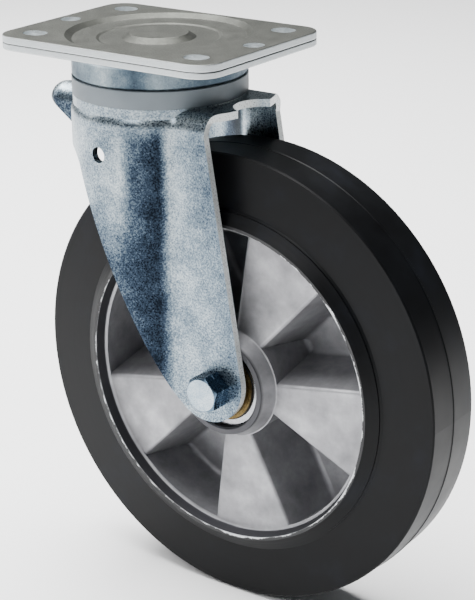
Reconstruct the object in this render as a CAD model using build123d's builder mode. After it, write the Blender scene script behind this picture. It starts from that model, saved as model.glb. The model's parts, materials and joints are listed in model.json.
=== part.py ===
from build123d import *
import os
from math import acos, atan2, cos, hypot, radians, sin, tan

# Heavy-duty swivel castor: a double-plate swivel head, a pressed steel fork and a
# rubber-tyred wheel on a die-cast centre.
# Millimetres. Origin at the centre of the mounting face, +Z up along the swivel axis.
# The wheel trails towards +X and its axle runs along Y.

# ---- overall sizes ----
wheel_diameter = 250.0
overall_height = 302.0
trail = 57.0
axle_z = wheel_diameter / 2 - overall_height

# ---- fits and clearances ----
ball_play = 0.08          # between a ball and its race
swivel_gap = 0.4          # between the head and what swivels under it
slide_fit = 0.05          # a shaft in a hole it slides into
wheel_gap = 0.3           # between the turning wheel and the fixed axle parts

# ---- head plates ----
plate_length = 140.0
plate_width = 105.0
plate_corner = 13.0
plate_thickness = 4.0
plate_edge = 0.7
bolt_spacing_x = 106.0
bolt_spacing_y = 75.0
bolt_slot_length = 13.5
bolt_hole_diameter = 11.0
middle_hole_spacing = 122.0
recess_radius = 49.5
recess_depth = 2.2
recess_slope = 3.6
step_radius = 31.5
step_depth = 0.6
dome_radius = 19.5
dome_slope = 4.0
race_plate_thickness = 3.5
cup_radius = 46.5
cup_bottom = -20.5
cup_flare = 3.0

# ---- swivel bearing ----
upper_ball_radius = 5.6
upper_pitch_radius = 36.0
upper_ball_count = 18
upper_groove_depth = 0.6
lower_ball_radius = 3.5
lower_pitch_radius = 21.0
lower_ball_count = 16
lower_groove_depth = 0.5
kingpin_radius = 11.0
kingpin_thread_radius = 10.0
kingpin_head_radius = 15.0
kingpin_head_height = 5.0
kingpin_nut_flats = 30.0
kingpin_nut_height = 9.0
dish_thickness = 3.5
dish_radius = 27.5
dish_rim = 2.0
seal_radius = 46.7
seal_wall = 3.0

# ---- fork ----
sheet = 4.0
fork_gap = 59.0           # between the legs' inner faces
fork_body_radius = 47.6
crown_hole_radius = 14.0
crown_bend = 9.0
crease_radius = 8.0
collar_height = 6.5       # plain collar under the seal ring
rear_wall_bottom = -58.0
rear_corner_radius = 14.0
leg_rear_start = (-20.5, -68.0)
leg_front_x = 53.5
leg_front_z = -42.0
leg_end_radius = 22.8
leg_end_offset = (-5.0, 3.0)
crown_front_x = 62.5
crown_corner_x = 54.5     # where the bowed front edge meets the legs
crown_corner_blend = 12.0
crown_notch_x = 66.0
crown_notch_radius = 15.0
side_hole_diameter = 8.5
side_hole_x = -4.5
side_hole_z = -56.5
nose_tip_x = -74.4
nose_half_width = 9.5
nose_top = -34.7
nose_tip_bottom = -40.0
nose_root_x = -50.0
nose_wall = 3.0

# ---- axle ----
axle_bolt_radius = 6.0
axle_tube_radius = 10.0
hex_flats = 18.0
hex_turn = 17.7
bolt_head_height = 6.0
thin_nut_height = 5.6
washer_radius = 12.0
washer_thickness = 2.5
lock_nut_height = 12.0
lock_nut_collar = 3.5
bolt_end_length = 2.5

# ---- wheel bearings, 20 x 47 x 14 ----
bearing_outer_radius = 23.5
bearing_width = 14.0
bearing_face = 25.5
bearing_ball_radius = 3.9
bearing_pitch_radius = 17.0
bearing_ball_count = 8
ring_land_inner = 14.4
ring_land_outer = 19.6
seal_thickness = 1.0
cap_radius = 19.3
cap_step_radius = 17.0
cap_boss_radius = 13.5
cap_thickness = 1.3
spacer_radius = 12.5

# ---- wheel centre and tyre ----
hub_radius = 27.0
hub_mouth_bevel = 0.9
hub_root_radius = 30.5
hub_root_blend = 0.8
rim_half_width = 26.0
rim_inner_radius = 85.0
rim_outer_radius = 90.0
rim_lip_inner = 87.0
rim_lip_radius = 88.6
rim_root_blend = 2.0
rim_shoulder = 3.0
web_face = 20.0
web_thickness = 5.0
web_rounding = 2.0
pocket_count = 5
pocket_angle = 37.5
pocket_draft = 10.0
pocket_first_angle = 28.0
pocket_corner = 3.0
rounding_angles = [radians(a) for a in (0, 30, 60, 90)]
tread_half_width = 19.0
tread_edge_drop = 0.75
mould_line = 0.35
groove_radius = 95.8
groove_y = 20.7
groove_width = 1.2
groove_depth = 0.9
groove_rise = 1.6
mould_line_width = 1.0

# ---- levels and faces that follow from the sizes above ----
race_plate_top = -plate_thickness
race_plate_bottom = race_plate_top - race_plate_thickness
cup_floor = cup_bottom + race_plate_thickness
upper_ball_z = cup_bottom - upper_ball_radius + upper_groove_depth
collar_top = upper_ball_z - upper_ball_radius + upper_groove_depth
crown_top = collar_top - 0.5
crown_bottom = crown_top - sheet
lower_ball_z = crown_bottom - lower_ball_radius + lower_groove_depth
dish_top = lower_ball_z - lower_ball_radius + lower_groove_depth
dish_bottom = dish_top - dish_thickness
kingpin_end = dish_bottom - kingpin_nut_height - 1.5
leg_inner = fork_gap / 2
leg_outer = leg_inner + sheet
hub_half_length = leg_inner - wheel_gap
bearing_centre = bearing_face - bearing_width / 2
tread_radius = wheel_diameter / 2

wheel_section = Plane(origin=(trail, 0, axle_z))
wheel_axis = Axis((trail, 0, axle_z), (0, 1, 0))
pieces = []


def finish(part, name):
    """Label a finished piece and keep it for export."""
    part.label = name
    pieces.append(part)


def face_plane(y):
    """The plane square to the axle at y: local x is +X, local y is +Z, normal -Y."""
    return Plane(origin=(trail, y, axle_z), x_dir=(1, 0, 0), z_dir=(0, -1, 0))


def tangent_point(point, centre, radius, side):
    """Where the line from point touches the circle, on its left (1) or right (-1)."""
    dx = point[0] - centre[0]
    dz = point[1] - centre[1]
    angle = atan2(dz, dx) + side * acos(radius / hypot(dx, dz))
    return (centre[0] + radius * cos(angle), centre[1] + radius * sin(angle))


# ---- head ----
def bolt_holes():
    """The corner slots and the two middle holes, as a sketch above the plates."""
    with BuildSketch(Plane.XY.offset(1)) as holes:
        with GridLocations(bolt_spacing_x, bolt_spacing_y, 2, 2):
            SlotOverall(bolt_slot_length, bolt_hole_diameter)
        with GridLocations(middle_hole_spacing, 0, 2, 1):
            Circle(bolt_hole_diameter / 2)
    return holes.sketch


def plate_outline(top):
    with BuildSketch(Plane.XY.offset(top)) as outline:
        RectangleRounded(plate_length, plate_width, plate_corner)
    return outline.sketch


def mounting_plate():
    underside_radius = cup_radius - race_plate_thickness - 0.5
    with BuildPart() as plate:
        add(plate_outline(0))
        extrude(amount=-plate_thickness)
        fillet(plate.faces().filter_by(Axis.Z).edges(), plate_edge)
        # the recess is pressed down: cut from the top, pushed out underneath
        with BuildSketch(Plane.XZ):
            with BuildLine():
                Polyline(
                    (0, -recess_depth - plate_thickness - step_depth),
                    (step_radius, -recess_depth - plate_thickness - step_depth),
                    (underside_radius, -recess_depth - plate_thickness),
                    (underside_radius + recess_slope, -plate_thickness),
                    (0, -plate_thickness),
                    close=True,
                )
            make_face()
        revolve(axis=Axis.Z)
        with BuildSketch(Plane.XZ) as recess:
            with BuildLine():
                Polyline(
                    (recess_radius, 1),
                    (recess_radius, 0),
                    (recess_radius - recess_slope, -recess_depth),
                    (step_radius + 1.5, -recess_depth),
                    (step_radius, -recess_depth - step_depth),
                    (dome_radius, -recess_depth - step_depth),
                    (dome_radius - dome_slope, -0.2),
                    (0, -0.2),
                    (0, 1),
                    close=True,
                )
            make_face()
            inner_corners = recess.vertices().filter_by_position(Axis.Y, -recess_depth - 1, -0.1)
            fillet(inner_corners.filter_by_position(Axis.X, 1, recess_radius), 0.7)
        revolve(axis=Axis.Z, mode=Mode.SUBTRACT)
        # hollow under the dome, where the kingpin's head sits
        with BuildSketch(Plane.XZ):
            with BuildLine():
                Polyline(
                    (0, -plate_thickness),
                    (dome_radius - dome_slope - 1, -plate_thickness),
                    (dome_radius - 1, -recess_depth - plate_thickness - step_depth - 1),
                    (0, -recess_depth - plate_thickness - step_depth - 1),
                    close=True,
                )
            make_face()
        revolve(axis=Axis.Z, mode=Mode.SUBTRACT)
        add(bolt_holes())
        extrude(amount=race_plate_bottom - 2, mode=Mode.SUBTRACT)
    finish(plate.part, "mounting_plate")


def race_plate():
    """Lower plate with the drawn cup that carries the upper ball race."""
    bend = cup_flare + race_plate_thickness
    inner = cup_radius - race_plate_thickness
    with BuildPart() as plate:
        add(plate_outline(race_plate_top))
        extrude(amount=-race_plate_thickness)
        fillet(plate.faces().filter_by(Axis.Z).edges(), plate_edge)
        with BuildSketch(Plane.XY.offset(race_plate_top)):
            Circle(cup_radius + cup_flare)
        extrude(amount=-race_plate_thickness, mode=Mode.SUBTRACT)
        with BuildSketch(Plane.XZ):
            with BuildLine():
                bend_centre = (cup_radius + cup_flare, race_plate_bottom - cup_flare)
                CenterArc(bend_centre, cup_flare, 90, 90)
                Line((cup_radius, race_plate_bottom - cup_flare), (cup_radius, cup_bottom + 1))
                Line((cup_radius, cup_bottom + 1), (cup_radius - 1, cup_bottom))
                Line((cup_radius - 1, cup_bottom), (kingpin_radius + slide_fit, cup_bottom))
                Line((kingpin_radius + slide_fit, cup_bottom), (kingpin_radius + slide_fit, cup_floor))
                Line((kingpin_radius + slide_fit, cup_floor), (inner - 3, cup_floor))
                Line((inner - 3, cup_floor), (inner, cup_floor + 3))
                Line((inner, cup_floor + 3), (inner, race_plate_bottom - cup_flare))
                CenterArc(bend_centre, bend, 180, -90)
                Line((cup_radius + cup_flare, race_plate_top), (cup_radius + cup_flare, race_plate_bottom))
            make_face()
        revolve(axis=Axis.Z)
        with BuildSketch(Plane.XZ):
            with Locations((upper_pitch_radius, upper_ball_z)):
                Circle(upper_ball_radius + ball_play)
        revolve(axis=Axis.Z, mode=Mode.SUBTRACT)
        add(bolt_holes())
        extrude(amount=race_plate_bottom - 2, mode=Mode.SUBTRACT)
    finish(plate.part, "race_plate")


def kingpin():
    with BuildPart() as pin:
        with BuildSketch(Plane.XY.offset(cup_floor)):
            Circle(kingpin_head_radius)
        extrude(amount=kingpin_head_height)
        chamfer(pin.edges().sort_by(Axis.Z)[-1], 1)
        with BuildSketch(Plane.XY.offset(cup_floor)):
            Circle(kingpin_radius)
        extrude(amount=dish_top - cup_floor)
        with BuildSketch(Plane.XY.offset(dish_top)):
            Circle(kingpin_thread_radius)
        extrude(amount=kingpin_end - dish_top)
        chamfer(pin.edges().sort_by(Axis.Z)[0], 1.2)
    finish(pin.part, "kingpin")


def kingpin_nut():
    with BuildPart() as nut:
        with BuildSketch(Plane.XY.offset(dish_bottom)):
            RegularPolygon(kingpin_nut_flats / 2, 6, major_radius=False)
            Circle(kingpin_thread_radius, mode=Mode.SUBTRACT)
        extrude(amount=-kingpin_nut_height)
        with BuildSketch(Plane.XY.offset(dish_bottom)):
            Circle(kingpin_nut_flats / 2 + 0.3)
        extrude(amount=-kingpin_nut_height, taper=-8, mode=Mode.INTERSECT)
    finish(nut.part, "kingpin_nut")


def lower_race_dish():
    with BuildPart() as dish:
        with BuildSketch(Plane.XZ):
            with BuildLine():
                Polyline(
                    (kingpin_thread_radius + slide_fit, dish_bottom),
                    (dish_radius - dish_rim, dish_bottom),
                    (dish_radius, dish_bottom + dish_rim),
                    (dish_radius, crown_bottom - swivel_gap - 1),
                    (dish_radius - dish_rim, crown_bottom - swivel_gap - 1),
                    (dish_radius - dish_rim, dish_top),
                    (kingpin_thread_radius + slide_fit, dish_top),
                    close=True,
                )
            make_face()
        revolve(axis=Axis.Z)
        with BuildSketch(Plane.XZ):
            with Locations((lower_pitch_radius, lower_ball_z)):
                Circle(lower_ball_radius + ball_play)
        revolve(axis=Axis.Z, mode=Mode.SUBTRACT)
    finish(dish.part, "lower_race_dish")


def ball_row(name, z, pitch_radius, ball_radius, count):
    """One row of loose balls round the swivel axis."""
    with BuildPart() as balls:
        with Locations((0, 0, z)):
            with PolarLocations(pitch_radius, count):
                Sphere(ball_radius)
    finish(balls.part, name)


def seal_ring():
    with BuildPart() as ring:
        with BuildSketch(Plane.XY.offset(collar_top)):
            Circle(seal_radius)
            Circle(seal_radius - seal_wall, mode=Mode.SUBTRACT)
        extrude(amount=cup_bottom - swivel_gap - collar_top)
        chamfer(ring.edges(), 0.35)
    finish(ring.part, "seal_ring")


# ---- fork ----
def fork_plan(radius, half_width, corner, reach):
    """Plan of the pressing: a round body with two parallel legs towards +X."""
    with BuildSketch(Plane.XY.offset(crown_top)) as plan:
        Circle(radius)
        with Locations((reach / 2, 0)):
            Rectangle(reach, 2 * half_width)
        crease = plan.vertices().filter_by_position(Axis.X, 1, radius)
        fillet(crease, corner)
    return plan.sketch


def fork_cavity():
    """The space inside the pressing, with the bends' inner radius along its top."""
    radius = fork_body_radius - sheet
    with BuildPart() as cavity:
        add(fork_plan(radius, leg_inner, crease_radius + sheet, crown_front_x + 60))
        extrude(amount=-overall_height)
        top_edges = cavity.faces().sort_by(Axis.Z)[-1].edges()
        fillet(top_edges.filter_by_position(Axis.X, -radius, crown_front_x + 59), crown_bend - sheet)
    return cavity.part.moved(Location((0, 0, -sheet)))


def nose_plan(half_width, tip_x, root_x):
    """Plan of the hood drawn out at the rear of the crown."""
    with BuildSketch(Plane.XY.offset(nose_top)) as plan:
        with Locations((tip_x + half_width, 0)):
            Circle(half_width)
        with Locations(((tip_x + half_width + root_x) / 2, 0)):
            Rectangle(root_x - tip_x - half_width, 2 * half_width)
    return plan.sketch


def fork():
    end_centre = (trail + leg_end_offset[0], axle_z + leg_end_offset[1])
    rear_touch = tangent_point(leg_rear_start, end_centre, leg_end_radius, 1)
    front_touch = tangent_point((leg_front_x, leg_front_z), end_centre, leg_end_radius, -1)
    slope = (rear_touch[0] - leg_rear_start[0]) / (leg_rear_start[1] - rear_touch[1])
    corner_x = leg_rear_start[0] - slope * (rear_wall_bottom - leg_rear_start[1])
    tip_wall = nose_tip_x + nose_wall
    cavity = fork_cavity()

    # a round-topped hood, cut off along a slope from its tip to the rear wall's foot
    with BuildPart() as nose:
        add(nose_plan(nose_half_width, nose_tip_x, -upper_pitch_radius))
        extrude(amount=rear_wall_bottom - nose_top)
        top = nose.faces().sort_by(Axis.Z)[-1].edges()
        fillet(top.filter_by_position(Axis.X, nose_tip_x, -upper_pitch_radius - 1), nose_half_width - 0.5)
        with BuildSketch(Plane.XZ):
            with BuildLine():
                Polyline(
                    (nose_tip_x - 1, nose_tip_bottom),
                    (nose_root_x, rear_wall_bottom),
                    (nose_root_x, rear_wall_bottom - 1),
                    (nose_tip_x - 1, rear_wall_bottom - 1),
                    close=True,
                )
            make_face()
        extrude(amount=nose_half_width + 1, both=True, mode=Mode.SUBTRACT)

    with BuildPart() as nose_cavity:
        inner_width = nose_half_width - nose_wall
        add(nose_plan(inner_width, tip_wall, -upper_pitch_radius))
        extrude(amount=rear_wall_bottom - nose_top)
        top = nose_cavity.faces().sort_by(Axis.Z)[-1].edges()
        fillet(top.filter_by_position(Axis.X, tip_wall, -upper_pitch_radius - 1), inner_width - 0.5)

    with BuildPart() as pressing:
        add(fork_plan(fork_body_radius, leg_outer, crease_radius, crown_front_x + 50))
        extrude(amount=-overall_height)
        top_edges = pressing.faces().sort_by(Axis.Z)[-1].edges()
        fillet(top_edges.filter_by_position(Axis.X, -fork_body_radius, crown_front_x + 49), crown_bend)
        # the plain collar that the seal ring stands on
        with BuildSketch(Plane.XY.offset(collar_top)):
            Circle(cup_radius)
        extrude(amount=-collar_height)
        add(nose.part)
        add(cavity, mode=Mode.SUBTRACT)
        add(nose_cavity.part.moved(Location((0, 0, -nose_wall))), mode=Mode.SUBTRACT)

        # side outline of the legs
        with BuildSketch(Plane.XZ) as outline:
            with BuildLine():
                Line((crown_front_x + 10, 0), (nose_tip_x - 10, 0))
                Line((nose_tip_x - 10, 0), (nose_tip_x - 10, rear_wall_bottom))
                Line((nose_tip_x - 10, rear_wall_bottom), (corner_x, rear_wall_bottom))
                Line((corner_x, rear_wall_bottom), rear_touch)
                lowest = (end_centre[0], end_centre[1] - leg_end_radius)
                ThreePointArc(rear_touch, lowest, front_touch)
                Line(front_touch, (leg_front_x, leg_front_z))
                Line((leg_front_x, leg_front_z), (crown_corner_x, crown_bottom))
                Line((crown_corner_x, crown_bottom), (crown_front_x + 10, crown_bottom))
                Line((crown_front_x + 10, crown_bottom), (crown_front_x + 10, 0))
            make_face()
            rear = outline.vertices().filter_by_position(Axis.X, corner_x - 0.1, corner_x + 0.1)
            fillet(rear, rear_corner_radius)
        extrude(amount=fork_body_radius + 5, both=True, mode=Mode.INTERSECT)

        # front edge of the crown, bowed forward, with a round notch in its middle
        with BuildSketch(Plane.XY) as front:
            with BuildLine():
                far = crown_front_x + 60
                corner = (crown_corner_x, leg_inner)
                mirrored = (crown_corner_x, -leg_inner)
                Line(mirrored, (crown_corner_x, -far))
                Line((crown_corner_x, -far), (far, -far))
                Line((far, -far), (far, far))
                Line((far, far), (crown_corner_x, far))
                Line((crown_corner_x, far), corner)
                ThreePointArc(corner, (crown_front_x, 0), mirrored)
            make_face()
            corners = front.vertices().filter_by_position(Axis.X, crown_corner_x - 0.1, crown_corner_x + 0.1)
            fillet(corners.filter_by_position(Axis.Y, -leg_outer, leg_outer), crown_corner_blend)
            with Locations((crown_notch_x, 0)):
                Circle(crown_notch_radius)
        extrude(amount=leg_front_z, mode=Mode.SUBTRACT)

        # centre hole and the two ball races in the crown
        with BuildSketch(Plane.XY):
            Circle(crown_hole_radius)
        extrude(amount=crown_bottom - 5, mode=Mode.SUBTRACT)
        with BuildSketch(Plane.XZ):
            with Locations((upper_pitch_radius, upper_ball_z)):
                Circle(upper_ball_radius + ball_play)
            with Locations((lower_pitch_radius, lower_ball_z)):
                Circle(lower_ball_radius + ball_play)
        revolve(axis=Axis.Z, mode=Mode.SUBTRACT)

        # axle holes and the small side holes, through both legs
        with BuildSketch(Plane.XZ):
            with Locations((trail, axle_z)):
                Circle(axle_bolt_radius + slide_fit)
            with Locations((side_hole_x, side_hole_z)):
                Circle(side_hole_diameter / 2)
        extrude(amount=fork_body_radius + 5, both=True, mode=Mode.SUBTRACT)
    finish(pressing.part, "fork")


# ---- axle ----
def axle_bolt():
    """Hexagon bolt from the near side, head outermost."""
    head_seat = -leg_outer - thin_nut_height
    tip = leg_outer + washer_thickness + lock_nut_height + bolt_end_length
    with BuildPart() as bolt:
        with BuildSketch(face_plane(head_seat)):
            RegularPolygon(hex_flats / 2, 6, major_radius=False, rotation=hex_turn)
        extrude(amount=bolt_head_height)
        with BuildSketch(face_plane(head_seat - bolt_head_height)):
            Circle(hex_flats / 2 * 0.96)
        extrude(amount=-bolt_head_height, taper=-60, mode=Mode.INTERSECT)
        with BuildSketch(face_plane(head_seat)):
            Circle(axle_bolt_radius)
        extrude(amount=head_seat - tip)
        chamfer(bolt.edges().sort_by(Axis.Y)[-1], 1)
    finish(bolt.part, "axle_bolt")


def axle_thin_nut():
    with BuildPart() as nut:
        with BuildSketch(face_plane(-leg_outer)):
            RegularPolygon(hex_flats / 2, 6, major_radius=False, rotation=hex_turn)
        extrude(amount=thin_nut_height)
        with BuildSketch(face_plane(-leg_outer - thin_nut_height)):
            Circle(hex_flats / 2)
        extrude(amount=-thin_nut_height, taper=-60, mode=Mode.INTERSECT)
        with BuildSketch(face_plane(-leg_outer)):
            Circle(axle_bolt_radius)
        extrude(amount=thin_nut_height, mode=Mode.SUBTRACT)
    finish(nut.part, "axle_thin_nut")


def axle_washer():
    with BuildPart() as washer:
        with BuildSketch(face_plane(leg_outer)):
            Circle(washer_radius)
            Circle(axle_bolt_radius + slide_fit, mode=Mode.SUBTRACT)
        extrude(amount=-washer_thickness)
        chamfer(washer.edges().sort_by(Axis.Y)[-2:], 0.4)
    finish(washer.part, "axle_washer")


def axle_lock_nut():
    """Hexagon nut with the rounded collar that grips the thread."""
    seat = leg_outer + washer_thickness
    hex_height = lock_nut_height - lock_nut_collar
    with BuildPart() as nut:
        with BuildSketch(face_plane(seat)):
            RegularPolygon(hex_flats / 2, 6, major_radius=False, rotation=hex_turn)
        extrude(amount=-hex_height)
        with BuildSketch(face_plane(seat + hex_height)):
            Circle(hex_flats / 2 * 0.94)
        extrude(amount=-lock_nut_collar)
        fillet(nut.edges().sort_by(Axis.Y)[-1], 1.2)
        with BuildSketch(face_plane(seat)):
            Circle(axle_bolt_radius)
        extrude(amount=-lock_nut_height, mode=Mode.SUBTRACT)
    finish(nut.part, "axle_lock_nut")


def tube(name, outer, inner, y_from, y_to):
    """A plain tube or ring on the axle between two y positions."""
    with BuildPart() as piece:
        with BuildSketch(face_plane(y_from)):
            Circle(outer)
            Circle(inner, mode=Mode.SUBTRACT)
        extrude(amount=y_from - y_to)
    finish(piece.part, name)


# ---- wheel bearings ----
def bearing_ring(name, side, inner, outer):
    """A bearing ring with its ball groove."""
    with BuildPart() as ring:
        with BuildSketch(wheel_section):
            with Locations(((inner + outer) / 2, side * bearing_centre)):
                RectangleRounded(outer - inner, bearing_width, 0.6)
            with Locations((bearing_pitch_radius, side * bearing_centre)):
                Circle(bearing_ball_radius + ball_play, mode=Mode.SUBTRACT)
        revolve(axis=wheel_axis)
    finish(ring.part, name)


def bearing_balls(name, side):
    with BuildPart() as balls:
        with Locations(face_plane(side * bearing_centre)):
            with PolarLocations(bearing_pitch_radius, bearing_ball_count):
                Sphere(bearing_ball_radius)
    finish(balls.part, name)


def bearing_cage(name, side):
    """Crown cage: a thin ring with fingers between the balls."""
    wall = 1.2
    back = bearing_ball_radius + 0.9
    front = -2.0
    with BuildPart() as cage:
        with BuildSketch(wheel_section):
            with Locations((bearing_pitch_radius, side * (bearing_centre + (front + back) / 2))):
                Rectangle(2 * wall, back - front)
        revolve(axis=wheel_axis)
        with Locations(face_plane(side * bearing_centre)):
            with PolarLocations(bearing_pitch_radius, bearing_ball_count):
                Sphere(bearing_ball_radius + ball_play, mode=Mode.SUBTRACT)
    finish(cage.part, name)


def bearing_seals(name, side):
    """The two rubber seals of one bearing, held in its outer ring."""
    inset = bearing_width / 2 - seal_thickness / 2 - 0.2
    seal_width = ring_land_outer - ring_land_inner - wheel_gap
    with BuildPart() as seals:
        with BuildSketch(wheel_section):
            for step in (-inset, inset):
                with Locations((ring_land_outer - seal_width / 2, side * bearing_centre + step)):
                    Rectangle(seal_width, seal_thickness)
        revolve(axis=wheel_axis)
    finish(seals.part, name)


def bearing_cap(name, side):
    """Dust cap: a stepped disc over the bearing, with a boss against the leg."""
    disc_face = bearing_face + wheel_gap + cap_thickness
    with BuildPart() as cap:
        with BuildSketch(wheel_section):
            with BuildLine():
                Polyline(
                    (axle_tube_radius + slide_fit, side * bearing_face),
                    (cap_boss_radius, side * bearing_face),
                    (cap_boss_radius, side * (bearing_face + wheel_gap)),
                    (cap_radius, side * (bearing_face + wheel_gap)),
                    (cap_radius, side * disc_face),
                    (cap_step_radius, side * disc_face),
                    (cap_step_radius, side * (disc_face + 1)),
                    (cap_boss_radius, side * (disc_face + 1)),
                    (cap_boss_radius, side * leg_inner),
                    (axle_tube_radius + slide_fit, side * leg_inner),
                    close=True,
                )
            make_face()
        revolve(axis=wheel_axis)
    finish(cap.part, name)


# ---- wheel ----
def pocket_tool(side, angle):
    """One drafted pocket between two webs, open on the given side of the wheel.

    Its mouth is flared in three flats, which round the webs' edges over.
    """
    half = radians(pocket_angle / 2)
    depth = 2 * web_face - web_thickness
    reach = rim_outer_radius + 20
    # (depth below the web's face, how far the walls are moved outwards)
    levels = [(depth, -depth * tan(radians(pocket_draft)))]
    levels += [(web_rounding * (1 - sin(a)), web_rounding * (1 - cos(a))) for a in rounding_angles]
    with BuildPart() as tool:
        for level, outwards in levels:
            with BuildSketch(face_plane(side * (web_face - level))):
                with BuildLine():
                    apex = -outwards / sin(half)
                    width = (reach - apex) * tan(half)
                    Polyline((apex, 0), (reach, -width), (reach, width), close=True)
                make_face()
        loft(ruled=True)
        with BuildSketch(face_plane(side * web_face)):
            Circle(rim_inner_radius)
            Circle(hub_root_radius, mode=Mode.SUBTRACT)
        extrude(amount=side * depth, mode=Mode.INTERSECT)
        floor = tool.faces().sort_by(Axis.Y)[0 if side > 0 else -1]
        fillet(floor.edges(), pocket_corner)
    return tool.part.rotate(wheel_axis, -angle)


def wheel_centre():
    """Die-cast centre: hub, folded web with pockets from both sides, and rim."""
    step = 360 / pocket_count
    near = [pocket_tool(-1, pocket_first_angle + i * step) for i in range(pocket_count)]
    far = [pocket_tool(1, pocket_first_angle + (i + 0.5) * step) for i in range(pocket_count)]
    seat_inner = bearing_centre - bearing_width / 2
    lip = rim_half_width - rim_shoulder
    with BuildPart() as centre:
        with BuildSketch(wheel_section) as section:
            with BuildLine():
                Polyline(
                    (bearing_outer_radius, hub_half_length - hub_mouth_bevel),
                    (bearing_outer_radius + hub_mouth_bevel, hub_half_length),
                    (hub_radius, hub_half_length),
                    (hub_root_radius, web_face),
                    (rim_inner_radius, web_face),
                    (rim_lip_inner, rim_half_width),
                    (rim_lip_radius, rim_half_width),
                    (rim_outer_radius, lip),
                    (rim_outer_radius, -lip),
                    (rim_lip_radius, -rim_half_width),
                    (rim_lip_inner, -rim_half_width),
                    (rim_inner_radius, -web_face),
                    (hub_root_radius, -web_face),
                    (hub_radius, -hub_half_length),
                    (bearing_outer_radius + hub_mouth_bevel, -hub_half_length),
                    (bearing_outer_radius, -hub_half_length + hub_mouth_bevel),
                    (bearing_outer_radius, -seat_inner),
                    (bearing_outer_radius - 3, -seat_inner),
                    (bearing_outer_radius - 3, seat_inner),
                    (bearing_outer_radius, seat_inner),
                    close=True,
                )
            make_face()
            roots = section.vertices().filter_by_position(Axis.Y, -web_face - 0.1, web_face + 0.1)
            at_hub = roots.filter_by_position(Axis.X, hub_root_radius - 0.1, hub_root_radius + 0.1)
            fillet(at_hub, hub_root_blend)
            roots = section.vertices().filter_by_position(Axis.Y, -web_face - 0.1, web_face + 0.1)
            at_rim = roots.filter_by_position(Axis.X, rim_inner_radius - 0.1, rim_inner_radius + 0.1)
            fillet(at_rim, rim_root_blend)
        revolve(axis=wheel_axis)
        for tool in near + far:
            add(tool, mode=Mode.SUBTRACT)
    finish(centre.part, "wheel_centre")


def tyre():
    """Solid rubber tyre vulcanised round the rim."""
    lip = rim_half_width - rim_shoulder
    edge = tread_radius - tread_edge_drop
    groove_top = groove_y + groove_rise
    with BuildPart() as rubber:
        with BuildSketch(wheel_section):
            with BuildLine():
                Polyline(
                    (rim_outer_radius, 0),
                    (rim_outer_radius, lip),
                    (rim_lip_radius, rim_half_width),
                    (groove_radius - groove_width, groove_top),
                    (groove_radius - groove_width, groove_top - groove_depth),
                    (groove_radius, groove_y),
                    (edge - 0.8, tread_half_width),
                    (edge, tread_half_width - 0.8),
                    (tread_radius - mould_line, mould_line_width),
                    (tread_radius, mould_line_width / 2),
                    (tread_radius, 0),
                    close=True,
                )
            make_face()
            mirror(about=Plane.XZ)
        revolve(axis=wheel_axis)
    finish(rubber.part, "tyre")


def build_head():
    mounting_plate()
    race_plate()
    kingpin()
    kingpin_nut()
    lower_race_dish()
    ball_row("upper_balls", upper_ball_z, upper_pitch_radius, upper_ball_radius, upper_ball_count)
    ball_row("lower_balls", lower_ball_z, lower_pitch_radius, lower_ball_radius, lower_ball_count)
    seal_ring()


def build_axle():
    seat_inner = bearing_face - bearing_width
    axle_bolt()
    axle_thin_nut()
    axle_washer()
    axle_lock_nut()
    tube("axle_tube", axle_tube_radius - slide_fit, axle_bolt_radius + slide_fit, -leg_inner, leg_inner)
    tube("bearing_spacer", spacer_radius, axle_tube_radius + slide_fit, -seat_inner, seat_inner)
    for word, side in (("near", -1), ("far", 1)):
        bearing_ring("bearing_inner_ring_" + word, side, axle_tube_radius, ring_land_inner)
        bearing_ring("bearing_outer_ring_" + word, side, ring_land_outer, bearing_outer_radius)
        bearing_balls("bearing_balls_" + word, side)
        bearing_cage("bearing_cage_" + word, side)
        bearing_seals("bearing_seals_" + word, side)
        bearing_cap("bearing_cap_" + word, side)


build_head()
fork()
build_axle()
wheel_centre()
tyre()

os.makedirs("parts", exist_ok=True)
for piece in pieces:
    export_step(piece, "parts/" + piece.label + ".step")
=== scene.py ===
import json
import math
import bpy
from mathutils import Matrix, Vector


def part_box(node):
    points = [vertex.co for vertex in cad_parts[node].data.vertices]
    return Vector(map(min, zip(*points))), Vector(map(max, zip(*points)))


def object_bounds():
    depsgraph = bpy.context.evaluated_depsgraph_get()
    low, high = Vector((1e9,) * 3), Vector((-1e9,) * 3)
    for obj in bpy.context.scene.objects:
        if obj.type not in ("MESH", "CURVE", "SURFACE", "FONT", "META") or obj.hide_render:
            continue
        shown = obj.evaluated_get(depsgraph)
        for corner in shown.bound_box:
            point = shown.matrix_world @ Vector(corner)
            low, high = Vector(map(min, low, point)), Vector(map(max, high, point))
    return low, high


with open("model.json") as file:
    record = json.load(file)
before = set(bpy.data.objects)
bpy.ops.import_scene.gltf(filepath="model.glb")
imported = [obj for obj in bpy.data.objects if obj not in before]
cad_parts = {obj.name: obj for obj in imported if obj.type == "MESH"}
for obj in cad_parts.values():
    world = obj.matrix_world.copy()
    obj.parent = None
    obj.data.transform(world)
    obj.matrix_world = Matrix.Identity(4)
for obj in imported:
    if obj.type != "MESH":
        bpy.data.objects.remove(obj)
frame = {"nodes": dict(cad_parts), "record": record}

from types import SimpleNamespace

import bmesh
import bpy
from mathutils import Matrix, Vector

cad_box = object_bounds()
mm = 0.001
origin = (0, 0, 0)

# ---- places, read from the frame ----
joints = {joint["name"]: joint for joint in frame["record"]["behaviour"]["joints"]}
axle = tuple(joints["wheel_spin"]["pos_m"])
tyre_low, tyre_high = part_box("tyre")
rim_low, rim_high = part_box("wheel_centre")
floor_height = tyre_low.z
rim_radius = (rim_high.x - rim_low.x) / 2
rim_half_width = (tyre_high.y - tyre_low.y) / 2
cup_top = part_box("race_plate")[1].z - 4.5 * mm


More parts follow.
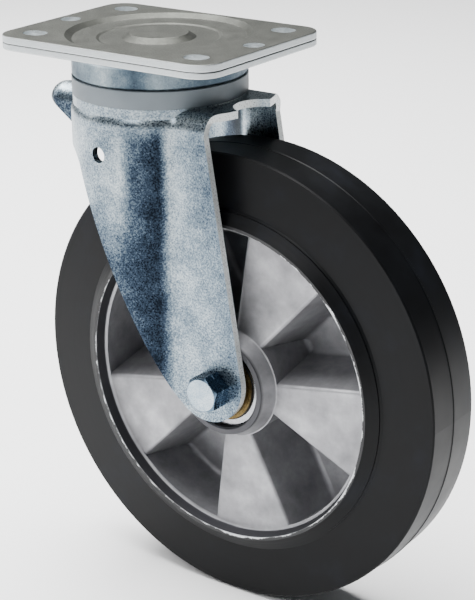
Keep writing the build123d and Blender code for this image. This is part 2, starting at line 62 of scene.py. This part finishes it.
# ---- camera, lights and floor ----
def make_camera():
    """A long lens a metre away, a little above and to the right of the near side."""
    azimuth, elevation, roll = (math.radians(angle) for angle in (36.82, 19.63, -0.96))
    aside, above, distance = 6.64 * mm, 1.14 * mm, 977.3 * mm
    back = Vector((
        math.sin(azimuth) * math.cos(elevation),
        -math.cos(azimuth) * math.cos(elevation),
        math.sin(elevation),
    ))
    level = Vector((math.cos(azimuth), math.sin(azimuth), 0))
    upright = back.cross(level)
    right = level * math.cos(roll) + upright * math.sin(roll)
    up = upright * math.cos(roll) - level * math.sin(roll)
    aim = Vector((30, 0, -130)) * mm
    camera = bpy.data.objects.new("camera", bpy.data.cameras.new("camera"))
    bpy.context.scene.collection.objects.link(camera)
    turn = Matrix((right, up, back)).transposed().to_4x4()
    camera.matrix_world = Matrix.Translation(aim + aside * right + above * up + distance * back) @ turn
    camera.data.sensor_width = 36
    camera.data.lens = 109.1
    camera.data.shift_x = 0.0262
    camera.data.shift_y = -0.0428
    camera.data.clip_end = 50
    bpy.context.scene.camera = camera


def make_softbox(name, azimuth, elevation, distance, width, height, power):
    """A softbox that faces the object from the given direction."""
    around, above = math.radians(azimuth), math.radians(elevation)
    back = Vector((
        math.sin(around) * math.cos(above),
        -math.cos(around) * math.cos(above),
        math.sin(above),
    ))
    lamp = bpy.data.lights.new(name, "AREA")
    lamp.shape = "RECTANGLE"
    lamp.size = width
    lamp.size_y = height
    lamp.energy = power
    light = bpy.data.objects.new(name, lamp)
    light.rotation_mode = "QUATERNION"
    light.location = (cad_box[0] + cad_box[1]) / 2 + back * distance
    light.rotation_quaternion = back.to_track_quat("Z", "Y")
    bpy.context.scene.collection.objects.link(light)


def make_world():
    """A grey studio, darkest a little above the horizon, so that metal has something to show."""
    world = bpy.data.worlds.new("studio")
    world.use_nodes = True
    tree = world.node_tree
    tree.nodes.clear()
    where = add_node(tree, "ShaderNodeTexCoord")
    split = add_node(tree, "ShaderNodeSeparateXYZ", {"Vector": where.outputs["Generated"]})
    ramp = add_node(tree, "ShaderNodeValToRGB", {"Fac": split.outputs["Z"]})
    set_ramp(ramp, ((0.5, "#8e9194"), (0.62, "#6f7174"), (0.95, "#a3a5a8")))
    glow = add_node(tree, "ShaderNodeBackground", {"Color": ramp.outputs["Color"], "Strength": 0.7})
    add_node(tree, "ShaderNodeOutputWorld", {"Surface": glow.outputs["Background"]})
    bpy.context.scene.world = world


def make_floor():
    """A pale sweep, far larger than the object."""
    half_width = 20
    shape = bmesh.new()
    bmesh.ops.create_grid(shape, x_segments=1, y_segments=1, size=half_width)
    mesh = bpy.data.meshes.new("floor")
    shape.to_mesh(mesh)
    shape.free()
    floor = bpy.data.objects.new("floor", mesh)
    floor.location.z = floor_height
    bpy.context.scene.collection.objects.link(floor)
    mesh.materials.append(pale_paper())


# ---- materials ----
def linear(code):
    """An sRGB hex colour as linear RGBA."""
    channels = [int(code[i:i + 2], 16) / 255 for i in (1, 3, 5)]
    return tuple(c / 12.92 if c <= 0.04045 else ((c + 0.055) / 1.055) ** 2.4 for c in channels) + (1.0,)


def add_node(tree, kind, inputs=None, **settings):
    """Adds a node with its settings; an input is a value or another node's socket."""
    node = tree.nodes.new(kind)
    for name, value in settings.items():
        setattr(node, name, value)
    for name, value in (inputs or {}).items():
        if isinstance(value, bpy.types.NodeSocket):
            tree.links.new(value, node.inputs[name])
        else:
            node.inputs[name].default_value = value
    return node


def set_ramp(node, stops):
    """Sets a colour ramp's stops: (position, sRGB hex or grey value)."""
    elements = node.color_ramp.elements
    while len(elements) < len(stops):
        elements.new(0.5)
    for element, (position, value) in zip(elements, stops):
        element.position = position
        element.color = linear(value) if isinstance(value, str) else (value, value, value, 1)


def new_finish(name, metallic, roughness):
    """A material with one shader, and the coordinates that its pattern follows."""
    material = bpy.data.materials.new(name)
    material.use_nodes = True
    tree = material.node_tree
    tree.nodes.clear()
    shader = add_node(tree, "ShaderNodeBsdfPrincipled", {"Metallic": metallic, "Roughness": roughness})
    add_node(tree, "ShaderNodeOutputMaterial", {"Surface": shader.outputs["BSDF"]})
    coordinates = add_node(tree, "ShaderNodeTexCoord")
    finish = SimpleNamespace(
        material=material, tree=tree, shader=shader, where=coordinates.outputs["Object"])
    # place and direction by axis, and both again without their signs
    finish.along = add_node(tree, "ShaderNodeSeparateXYZ", {"Vector": finish.where}).outputs
    finish.facing = add_node(tree, "ShaderNodeSeparateXYZ", {
        "Vector": coordinates.outputs["Normal"]}).outputs
    folded = add_node(tree, "ShaderNodeVectorMath", {0: finish.where}, operation="ABSOLUTE")
    finish.out_along = add_node(tree, "ShaderNodeSeparateXYZ", {
        "Vector": folded.outputs["Vector"]}).outputs
    turned = add_node(tree, "ShaderNodeVectorMath", {
        0: coordinates.outputs["Normal"]}, operation="ABSOLUTE")
    finish.out_facing = add_node(tree, "ShaderNodeSeparateXYZ", {
        "Vector": turned.outputs["Vector"]}).outputs
    return finish


def reach_from(finish, centre, axes):
    """Distance from a centre, measured along the axes marked with 1."""
    tree = finish.tree
    offset = add_node(tree, "ShaderNodeVectorMath", {0: finish.where, 1: centre}, operation="SUBTRACT")
    flat = add_node(tree, "ShaderNodeVectorMath", {
        0: offset.outputs["Vector"], 1: axes}, operation="MULTIPLY")
    length = add_node(tree, "ShaderNodeVectorMath", {0: flat.outputs["Vector"]}, operation="LENGTH")
    return length.outputs["Value"]


def past(tree, value, limit, soft):
    """0 below the limit and 1 past it, with a soft edge. A negative edge turns it over."""
    step = add_node(tree, "ShaderNodeMapRange", {
        "Value": value, "From Min": limit - soft, "From Max": limit + soft}, clamp=True)
    return step.outputs["Result"]


def overlap(tree, first, *others):
    """A mask that holds where all the masks hold."""
    mask = first
    for other in others:
        mask = add_node(tree, "ShaderNodeMath", {0: mask, 1: other}, operation="MULTIPLY").outputs[0]
    return mask


def cover(tree, colour, other, *masks):
    """The colour, covered by the other one where all the masks hold."""
    mix = add_node(tree, "ShaderNodeMix", {
        "Factor": overlap(tree, *masks), "A": colour, "B": other}, data_type="RGBA")
    return mix.outputs["Result"]


def painted_reflection_around(finish, stops):
    """Painted reflection: a grey that follows the direction around the swivel axis, from straight behind
    (0) over the sides (0.5) to straight ahead (1), the same on both sides."""
    around = add_node(finish.tree, "ShaderNodeMath", {
        0: finish.along["X"], 1: finish.out_along["Y"]}, operation="ARCTAN2")
    turn = add_node(finish.tree, "ShaderNodeMapRange", {
        "Value": around.outputs[0], "From Min": math.radians(-90), "From Max": math.radians(90)})
    ramp = add_node(finish.tree, "ShaderNodeValToRGB", {"Fac": turn.outputs["Result"]})
    set_ramp(ramp, stops)
    return ramp.outputs["Color"]


def moved_to(tree, value, level):
    """The value about 0.5, moved to lie about the level."""
    departure = add_node(tree, "ShaderNodeMath", {0: value, 1: 0.5}, operation="SUBTRACT")
    moved = add_node(tree, "ShaderNodeMath", {0: departure.outputs[0], 1: level}, operation="ADD")
    return moved.outputs[0]


def pale_paper():
    """Seamless studio paper: white, matt."""
    finish = new_finish("studio_paper", metallic=0.0, roughness=0.9)
    finish.shader.inputs["Base Color"].default_value = linear("#fafafa")
    return finish.material


def zinc_plating(name, stops, roughness, speckle, blotches):
    """Electroplated zinc with a clear passivation: a fine crystal sparkle over soft
    blotches, where the film's thickness tints the metal. The crystals of real zinc are
    finer than a render shows, so they are drawn at about a millimetre."""
    finish = new_finish(name, metallic=1.0, roughness=roughness)
    tree = finish.tree
    crystals = add_node(tree, "ShaderNodeTexNoise", {
        "Vector": finish.where, "Scale": 1 / (0.9 * mm), "Detail": 2.0, "Roughness": 0.6})
    film = add_node(tree, "ShaderNodeTexNoise", {
        "Vector": finish.where, "Scale": 1 / (13 * mm), "Detail": 4.0, "Roughness": 0.6})
    coarse = add_node(tree, "ShaderNodeMath", {
        0: film.outputs["Fac"], 1: blotches, 2: 0.5 - blotches / 2}, operation="MULTIPLY_ADD")
    fine = add_node(tree, "ShaderNodeMath", {
        0: crystals.outputs["Fac"], 1: speckle, 2: -speckle / 2}, operation="MULTIPLY_ADD")
    total = add_node(tree, "ShaderNodeMath", {0: coarse.outputs[0], 1: fine.outputs[0]}, operation="ADD")
    finish.tone = total.outputs[0]
    finish.tint = add_node(tree, "ShaderNodeValToRGB", {"Fac": finish.tone})
    set_ramp(finish.tint, stops)
    tree.links.new(finish.tint.outputs["Color"], finish.shader.inputs["Base Color"])
    dullness = add_node(tree, "ShaderNodeMapRange", {
        "Value": crystals.outputs["Fac"], "From Min": 0.3, "From Max": 0.7,
        "To Min": roughness - 0.08, "To Max": roughness + 0.12})
    tree.links.new(dullness.outputs["Result"], finish.shader.inputs["Roughness"])
    bump = add_node(tree, "ShaderNodeBump", {
        "Height": crystals.outputs["Fac"], "Strength": 0.35, "Distance": 0.06 * mm})
    tree.links.new(bump.outputs["Normal"], finish.shader.inputs["Normal"])
    return finish


def plate_zinc():
    """Dull zinc on the two plates. Their cut edges, rough in the metal, are painted pale: a painted
    highlight.
    The drawn cup under them is painted with light and dark by direction around the axis: painted
    reflections."""
    finish = zinc_plating(
        "matt_zinc_plating", ((0.3, "#393a37"), (0.5, "#464743"), (0.72, "#575854")),
        roughness=0.5, speckle=0.3, blotches=0.5)
    tree = finish.tree
    from_axis = reach_from(finish, origin, (1, 1, 0))
    # Painted highlight: upright faces more than 50 mm from the axis are painted pale.
    upright = past(tree, finish.out_facing["Z"], 0.6, -0.25)
    outside = past(tree, from_axis, 50 * mm, 0.5 * mm)
    colour = cover(tree, finish.tint.outputs["Color"], linear("#c9ced0"), upright, outside)
    below = past(tree, finish.along["Z"], cup_top, -1 * mm)
    inside = past(tree, from_axis, 52 * mm, -1 * mm)
    # Painted reflection on the drawn cup: light and dark by direction around the axis.
    bands = painted_reflection_around(finish, (
        (0.05, 0.35), (0.2, 0.68), (0.35, 0.36), (0.5, 0.66), (0.62, 0.25), (0.7, 0.6), (0.85, 0.4)))
    bright = add_node(tree, "ShaderNodeValToRGB", {"Fac": moved_to(tree, finish.tone, bands)})
    set_ramp(bright, ((0.2, "#26313d"), (0.4, "#566571"), (0.6, "#8d9ba2"), (0.8, "#cfd6d9")))
    colour = cover(tree, colour, bright.outputs["Color"], below, inside)
    tree.links.new(colour, finish.shader.inputs["Base Color"])
    return finish.material


def fork_zinc():
    """Bright zinc with a blue passivation. Painted reflections: the shade follows the direction around
    the swivel axis, with a painted dark band in the creases beside the legs and painted bright
    bands on both sides of them. The cut front edges, rough in the metal, are painted pale and less
    metallic: a painted highlight."""
    finish = zinc_plating("blue_zinc_plating", (
        (0.0, "#0f141b"), (0.2, "#2c3745"), (0.4, "#66747f"), (0.6, "#a3aeb3"), (0.85, "#e4e9ea")),
        roughness=0.3, speckle=0.75, blotches=0.45)
    tree = finish.tree
    # Painted reflection: light and dark by direction around the swivel axis, for the upper and the lower
    # fork.
    upper_painted_reflection = painted_reflection_around(finish, (
        (0.05, 0.2), (0.17, 0.3), (0.3, 0.55), (0.46, 0.42), (0.56, 0.52), (0.6, 0.22),
        (0.7, 0.05), (0.735, 0.55), (0.77, 0.47), (0.82, 0.31), (0.88, 0.3)))
    lower_painted_reflection = painted_reflection_around(finish, (
        (0.05, 0.15), (0.3, 0.3), (0.52, 0.26), (0.6, 0.12), (0.69, 0.05), (0.735, 0.44),
        (0.8, 0.46), (0.9, 0.28)))
    drop = add_node(tree, "ShaderNodeMapRange", {
        "Value": finish.along["Z"], "From Min": -70 * mm, "From Max": -115 * mm},
        interpolation_type="SMOOTHSTEP")
    shade = cover(tree, upper_painted_reflection, lower_painted_reflection, drop.outputs["Result"])
    # Above the collar the painted reflection gives way to an even level.
    collar_shade = (0.5, 0.5, 0.5, 1.0)
    below_collar = past(tree, finish.along["Z"], -42 * mm, -5 * mm)
    shade = cover(tree, collar_shade, shade, below_collar)
    tree.links.new(moved_to(tree, finish.tone, shade), finish.tint.inputs["Fac"])
    # Painted highlight: forward-facing front edges are painted pale and made less metallic.
    forward = past(tree, finish.facing["X"], 0.75, 0.15)
    painted_front_highlight = overlap(tree, forward, past(tree, finish.along["X"], 45 * mm, 2 * mm))
    colour = cover(tree, finish.tint.outputs["Color"], linear("#d5d9d8"), painted_front_highlight)
    tree.links.new(colour, finish.shader.inputs["Base Color"])
    metal = add_node(tree, "ShaderNodeMath", {0: painted_front_highlight, 1: -0.6, 2: 1.0}, operation="MULTIPLY_ADD")
    tree.links.new(metal.outputs[0], finish.shader.inputs["Metallic"])
    return finish.material


def bolt_zinc():
    """Zinc on the bolt and its nuts, with painted shade by facing: the flats are painted darker than the
    turned faces, and the chamfers are painted between the two."""
    finish = zinc_plating(
        "zinc_plated_bolt", ((0.3, "#66788a"), (0.5, "#93a2ac"), (0.7, "#bfc9ce")),
        roughness=0.24, speckle=0.4, blotches=0.6)
    tree = finish.tree
    # Painted shade: the flats and chamfers are painted darker by the way they face.
    endways = finish.out_facing["Y"]
    flats = past(tree, endways, 0.3, -0.1)
    colour = cover(tree, finish.tint.outputs["Color"], linear("#3f5469"), flats)
    colour = cover(
        tree, colour, linear("#56697a"), past(tree, endways, 0.3, 0.05), past(tree, endways, 0.95, -0.05))
    tree.links.new(colour, finish.shader.inputs["Base Color"])
    return finish.material


def yellow_chromate():
    """Zinc with a yellow chromate, worn to a dark bronze, on the bearing caps."""
    return zinc_plating(
        "yellow_chromate", ((0.3, "#2c2416"), (0.5, "#544529"), (0.7, "#7f6f4b")),
        roughness=0.4, speckle=0.5, blotches=0.8).material


def cast_aluminium():
    """Pressure die-cast aluminium: satin, cloudy where the melt flowed, fine pits. Rubber
    from the mould has crept over the rim's lip and left bare metal showing in places."""
    finish = new_finish("die_cast_aluminium", metallic=1.0, roughness=0.4)
    tree = finish.tree
    lip_start = rim_radius - 3.1 * mm
    lip_end = rim_radius - 1.4 * mm
    clouds = add_node(tree, "ShaderNodeTexNoise", {
        "Vector": finish.where, "Scale": 1 / (20 * mm), "Detail": 5.0, "Roughness": 0.6})
    tint = add_node(tree, "ShaderNodeValToRGB", {"Fac": clouds.outputs["Fac"]})
    set_ramp(tint, ((0.3, "#868689"), (0.52, "#9a9a9d"), (0.72, "#b0b0b3")))
    radius = reach_from(finish, axle, (1, 0, 1))
    outer = past(tree, finish.out_along["Y"], rim_half_width - 5.4 * mm, 0.3 * mm)
    cone = past(tree, radius, rim_radius - 5.1 * mm, 0.2 * mm)
    # Painted shade: the rim's inner cone is painted dark.
    colour = cover(tree, tint.outputs["Color"], linear("#37373a"), cone, outer)
    # Painted shade: the hub inside 27.4 mm is painted darker.
    hub = past(tree, radius, 27.4 * mm, -0.3 * mm)
    colour = cover(tree, colour, linear("#505053"), hub)
    lip = overlap(tree, past(tree, radius, lip_start, 0.1 * mm), outer)
    colour = cover(tree, colour, linear("#d3d5d7"), lip)
    ragged = add_node(tree, "ShaderNodeTexNoise", {
        "Vector": finish.where, "Scale": 1 / (16 * mm), "Detail": 6.0, "Roughness": 0.7})
    creep = add_node(tree, "ShaderNodeMapRange", {
        "Value": radius, "From Min": lip_start, "From Max": lip_end, "To Min": -0.12, "To Max": 0.12})
    level = add_node(tree, "ShaderNodeMath", {
        0: ragged.outputs["Fac"], 1: creep.outputs["Result"]}, operation="ADD")
    rubber = overlap(tree, past(tree, level.outputs[0], 0.43, 0.015), lip)
    colour = cover(tree, colour, linear("#1a1a1c"), rubber)
    tree.links.new(colour, finish.shader.inputs["Base Color"])
    metal = add_node(tree, "ShaderNodeMath", {0: 1.0, 1: rubber}, operation="SUBTRACT")
    tree.links.new(metal.outputs[0], finish.shader.inputs["Metallic"])
    dullness = add_node(tree, "ShaderNodeMapRange", {
        "Value": clouds.outputs["Fac"], "From Min": 0.3, "From Max": 0.7, "To Min": 0.66, "To Max": 0.52})
    tree.links.new(dullness.outputs["Result"], finish.shader.inputs["Roughness"])
    skin = add_node(tree, "ShaderNodeTexNoise", {
        "Vector": finish.where, "Scale": 1 / (1.6 * mm), "Detail": 4.0, "Roughness": 0.6})
    bump = add_node(tree, "ShaderNodeBump", {
        "Height": skin.outputs["Fac"], "Strength": 0.3, "Distance": 0.08 * mm})
    tree.links.new(bump.outputs["Normal"], finish.shader.inputs["Normal"])
    return finish.material


def vulcanised_rubber():
    """Solid black rubber from a polished mould: satin, with faint rings and bloom."""
    finish = new_finish("vulcanised_rubber", metallic=0.0, roughness=0.42)
    tree = finish.tree
    finish.shader.inputs["Specular IOR Level"].default_value = 0.12
    radius = reach_from(finish, axle, (1, 0, 1))
    rings = add_node(tree, "ShaderNodeTexNoise", {
        "W": radius, "Scale": 1 / (1.5 * mm), "Detail": 3.0}, noise_dimensions="1D")
    bloom = add_node(tree, "ShaderNodeTexNoise", {
        "Vector": finish.where, "Scale": 1 / (30 * mm), "Detail": 5.0, "Roughness": 0.65})
    tint = add_node(tree, "ShaderNodeValToRGB", {"Fac": bloom.outputs["Fac"]})
    set_ramp(tint, ((0.3, "#040405"), (0.55, "#07080a"), (0.75, "#0f1117")))
    tree.links.new(tint.outputs["Color"], finish.shader.inputs["Base Color"])
    wear = add_node(tree, "ShaderNodeMath", {
        0: rings.outputs["Fac"], 1: bloom.outputs["Fac"]}, operation="ADD")
    dullness = add_node(tree, "ShaderNodeMapRange", {
        "Value": wear.outputs[0], "From Min": 0.7, "From Max": 1.3, "To Min": 0.3, "To Max": 0.46})
    tree.links.new(dullness.outputs["Result"], finish.shader.inputs["Roughness"])
    bump = add_node(tree, "ShaderNodeBump", {
        "Height": rings.outputs["Fac"], "Strength": 0.25, "Distance": 0.05 * mm})
    tree.links.new(bump.outputs["Normal"], finish.shader.inputs["Normal"])
    return finish.material


def moulded_plastic(name, dark, light):
    """Injection-moulded plastic or moulded seal rubber with a fine spark-eroded grain."""
    finish = new_finish(name, metallic=0.0, roughness=0.5)
    tree = finish.tree
    grain = add_node(tree, "ShaderNodeTexNoise", {
        "Vector": finish.where, "Scale": 1 / (0.9 * mm), "Detail": 2.0})
    shade = add_node(tree, "ShaderNodeTexNoise", {
        "Vector": finish.where, "Scale": 1 / (20 * mm), "Detail": 2.0})
    tint = add_node(tree, "ShaderNodeValToRGB", {"Fac": shade.outputs["Fac"]})
    set_ramp(tint, ((0.3, dark), (0.7, light)))
    tree.links.new(tint.outputs["Color"], finish.shader.inputs["Base Color"])
    bump = add_node(tree, "ShaderNodeBump", {
        "Height": grain.outputs["Fac"], "Strength": 0.2, "Distance": 0.04 * mm})
    tree.links.new(bump.outputs["Normal"], finish.shader.inputs["Normal"])
    return finish.material


def ground_steel(name, dark, light, roughness):
    """Hardened, ground or oiled steel: close-grained and even."""
    finish = new_finish(name, metallic=1.0, roughness=roughness)
    tree = finish.tree
    grain = add_node(tree, "ShaderNodeTexNoise", {
        "Vector": finish.where, "Scale": 1 / (1.2 * mm), "Detail": 3.0})
    tint = add_node(tree, "ShaderNodeValToRGB", {"Fac": grain.outputs["Fac"]})
    set_ramp(tint, ((0.3, dark), (0.7, light)))
    tree.links.new(tint.outputs["Color"], finish.shader.inputs["Base Color"])
    dullness = add_node(tree, "ShaderNodeMapRange", {
        "Value": grain.outputs["Fac"], "To Min": roughness - 0.06, "To Max": roughness + 0.08})
    tree.links.new(dullness.outputs["Result"], finish.shader.inputs["Roughness"])
    return finish.material


finishes = {
    "zinc_plate": plate_zinc(),
    "zinc_fork": fork_zinc(),
    "zinc_fastener": bolt_zinc(),
    "hardened_steel": ground_steel("oiled_steel", "#55565a", "#737579", roughness=0.4),
    "ball_steel": ground_steel("bearing_steel", "#8a8b8f", "#a5a6aa", roughness=0.24),
    "grey_plastic": moulded_plastic("grey_nylon", "#626b71", "#6e777d"),
    "seal_rubber": moulded_plastic("seal_rubber", "#101011", "#1b1b1c"),
    "yellow_zinc": yellow_chromate(),
    "cast_aluminium": cast_aluminium(),
    "tyre_rubber": vulcanised_rubber(),
}


def paint_frame():
    """Gives every CAD node the finish of its slot."""
    for row in frame["record"]["subparts"]:
        mesh = frame["nodes"][row["node"]].data
        mesh.materials.clear()
        mesh.materials.append(finishes[row["material_slot"]])


make_camera()
make_world()
make_floor()
make_softbox("top_softbox", azimuth=-100, elevation=72, distance=1.8, width=1.8, height=1.8, power=165)
make_softbox("left_softbox", azimuth=-75, elevation=30, distance=1.5, width=0.9, height=1.1, power=11)
make_softbox("front_softbox", azimuth=-5, elevation=40, distance=1.6, width=0.5, height=0.8, power=10)
paint_frame()
